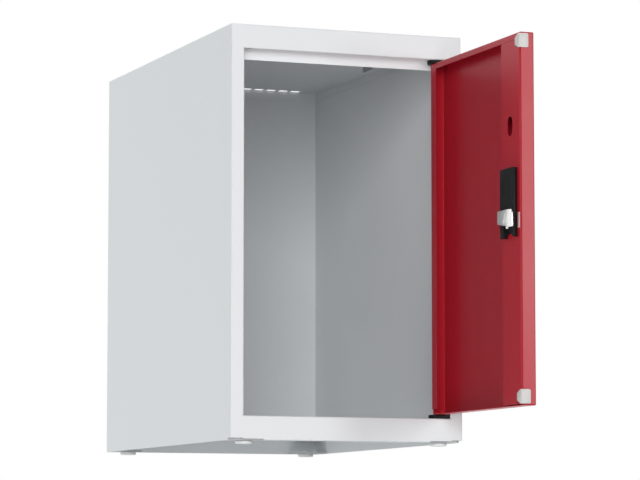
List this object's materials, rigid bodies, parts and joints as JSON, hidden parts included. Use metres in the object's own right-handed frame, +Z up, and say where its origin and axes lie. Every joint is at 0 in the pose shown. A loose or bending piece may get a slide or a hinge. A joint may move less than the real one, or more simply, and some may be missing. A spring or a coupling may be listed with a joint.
{
  "type": "locker top cabinet",
  "caption": "Welded sheet-steel box cabinet that stands on a locker column, with vent slots in its roof, a hinged red door standing open, a key-driven sliding bolt and push-in foot pads.",
  "frame": {"origin": "on the ground, under the middle of the box round the cabinet with its door open at a right angle", "axes": "+Z up, -Y out of the front, +X to the hinge side"},
  "size_m": [0.3, 0.7542, 0.504],
  "materials": {
    "grey_paint": "light grey powder coat, satin",
    "red_paint": "ruby red powder coat, satin",
    "black_plastic": "moulded, fine matt",
    "pale_plastic": "moulded, off-white",
    "zinc": "zinc die casting, plated",
    "bright_steel": "nickel plated"
  },
  "bodies": {
    "carcass": {"left_side_panel": "grey_paint", "right_side_panel": "grey_paint", "back_panel": "grey_paint", "roof_panel": "grey_paint", "floor_panel": "grey_paint", "ceiling_lug": "grey_paint", "foot_plate_front_left": "grey_paint", "foot_plate_front_right": "grey_paint", "foot_plate_rear_left": "grey_paint", "foot_plate_rear_right": "grey_paint", "foot_pad_front_left": "pale_plastic", "foot_pad_front_right": "pale_plastic", "foot_pad_rear_left": "pale_plastic", "foot_pad_rear_right": "pale_plastic", "upper_bearing": "black_plastic", "lower_bearing": "black_plastic"},
    "door": {"door_skin": "red_paint", "lock_channel": "red_paint", "upper_hinge_pin": "red_paint", "lower_hinge_pin": "red_paint", "upper_buffer": "pale_plastic", "lower_buffer": "pale_plastic", "lock_case": "black_plastic", "bolt_pad": "pale_plastic", "cylinder_housing": "bright_steel", "cylinder_nut": "bright_steel"},
    "key_plug": {"cylinder_plug": "bright_steel", "drive_crank": "zinc"},
    "lock_bolt": {"bolt": "zinc"}
  },
  "joints": [
    {"name": "door_hinge", "type": "hinge", "parent": "carcass", "child": "door", "pos_m": [0.1264, -0.1179, 0.254], "axis": [0, 0, 1], "range_deg": [-90, 15]},
    {"name": "key_turn", "type": "hinge", "parent": "door", "child": "key_plug", "pos_m": [0.1134, -0.3473, 0.254], "axis": [-1, 0, 0], "range_deg": [0, 90]},
    {"name": "bolt_slide", "type": "slide", "parent": "door", "child": "lock_bolt", "axis": [0, -1, 0], "range_m": [0, 0.017]}
  ],
  "couplings": [
    {"joint": "key_turn", "follows": "bolt_slide", "rad_per_m": 92.399}
  ]
}
